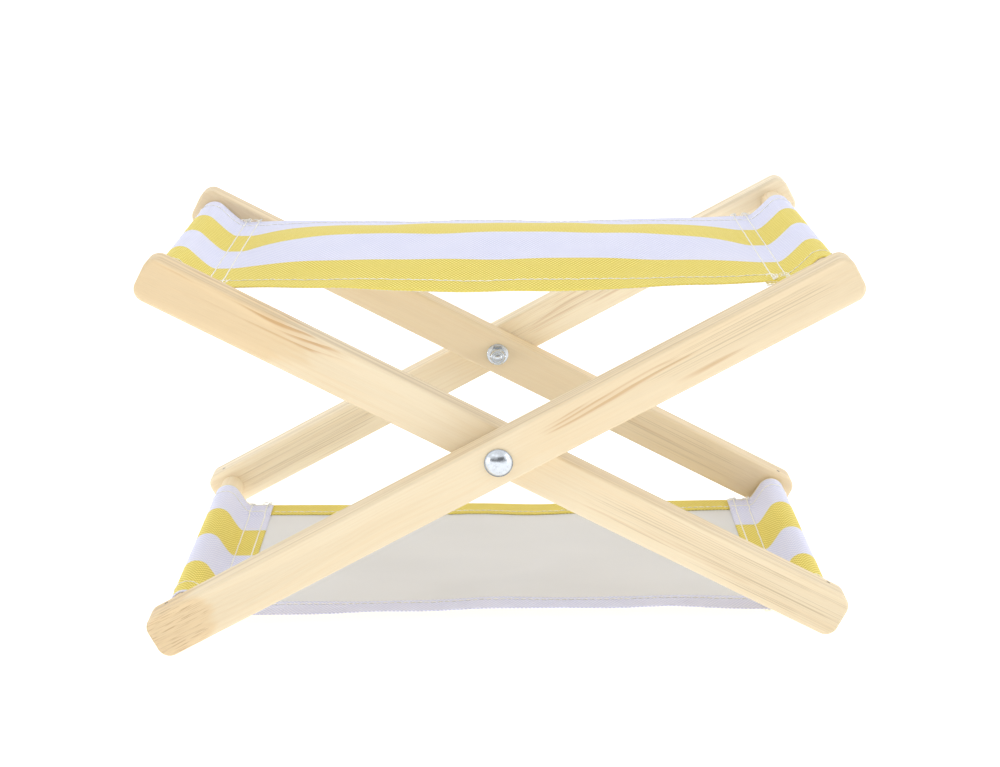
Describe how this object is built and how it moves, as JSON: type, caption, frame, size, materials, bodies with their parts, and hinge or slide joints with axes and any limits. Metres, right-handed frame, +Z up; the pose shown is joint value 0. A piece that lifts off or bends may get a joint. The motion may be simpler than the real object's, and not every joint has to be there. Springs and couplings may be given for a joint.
{
  "type": "folding camp stool",
  "caption": "Low folding stool with crossed wooden slat legs on one pivot line, a striped fabric seat sling between the top dowels and a storage sling between the bottom dowels.",
  "frame": {"origin": "on the floor, below the pivot line, midway between the front and rear legs", "axes": "+X to the right along the seat, +Y from front to back along the pivot line, +Z up"},
  "size_m": [0.4014, 0.2988, 0.2257],
  "materials": {
    "pine": "sanded, unvarnished pale softwood",
    "striped_cloth": "yellow and white striped oxford cloth with a pale coated back",
    "zinc_plate": "bright zinc plate",
    "nylon": "milky nylon",
    "brad_steel": "plain steel, dull"
  },
  "bodies": {
    "outer_frame": {"outer_leg_front": "pine", "outer_leg_rear": "pine", "outer_foot_dowel": "pine", "outer_top_dowel": "pine", "outer_foot_brad_front": "brad_steel", "outer_foot_brad_rear": "brad_steel", "outer_top_brad_front": "brad_steel", "outer_top_brad_rear": "brad_steel", "pivot_bolt_front": "zinc_plate", "pivot_bolt_rear": "zinc_plate", "spacer_washer_front": "zinc_plate", "spacer_washer_rear": "zinc_plate", "nut_washer_front": "zinc_plate", "nut_washer_rear": "zinc_plate", "lock_nut_front": "zinc_plate", "lock_nut_rear": "zinc_plate", "nut_insert_front": "nylon", "nut_insert_rear": "nylon", "seat_sling": "striped_cloth", "lower_sling": "striped_cloth"},
    "inner_frame": {"inner_leg_front": "pine", "inner_leg_rear": "pine", "inner_foot_dowel": "pine", "inner_top_dowel": "pine", "inner_foot_brad_front": "brad_steel", "inner_foot_brad_rear": "brad_steel", "inner_top_brad_front": "brad_steel", "inner_top_brad_rear": "brad_steel"}
  },
  "joints": [
    {"name": "fold", "type": "hinge", "parent": "outer_frame", "child": "inner_frame", "pos_m": [0, 0, 0.11287], "axis": [0, 1, 0], "range_deg": [0, 115], "deforming": ["seat_sling", "lower_sling"]}
  ]
}
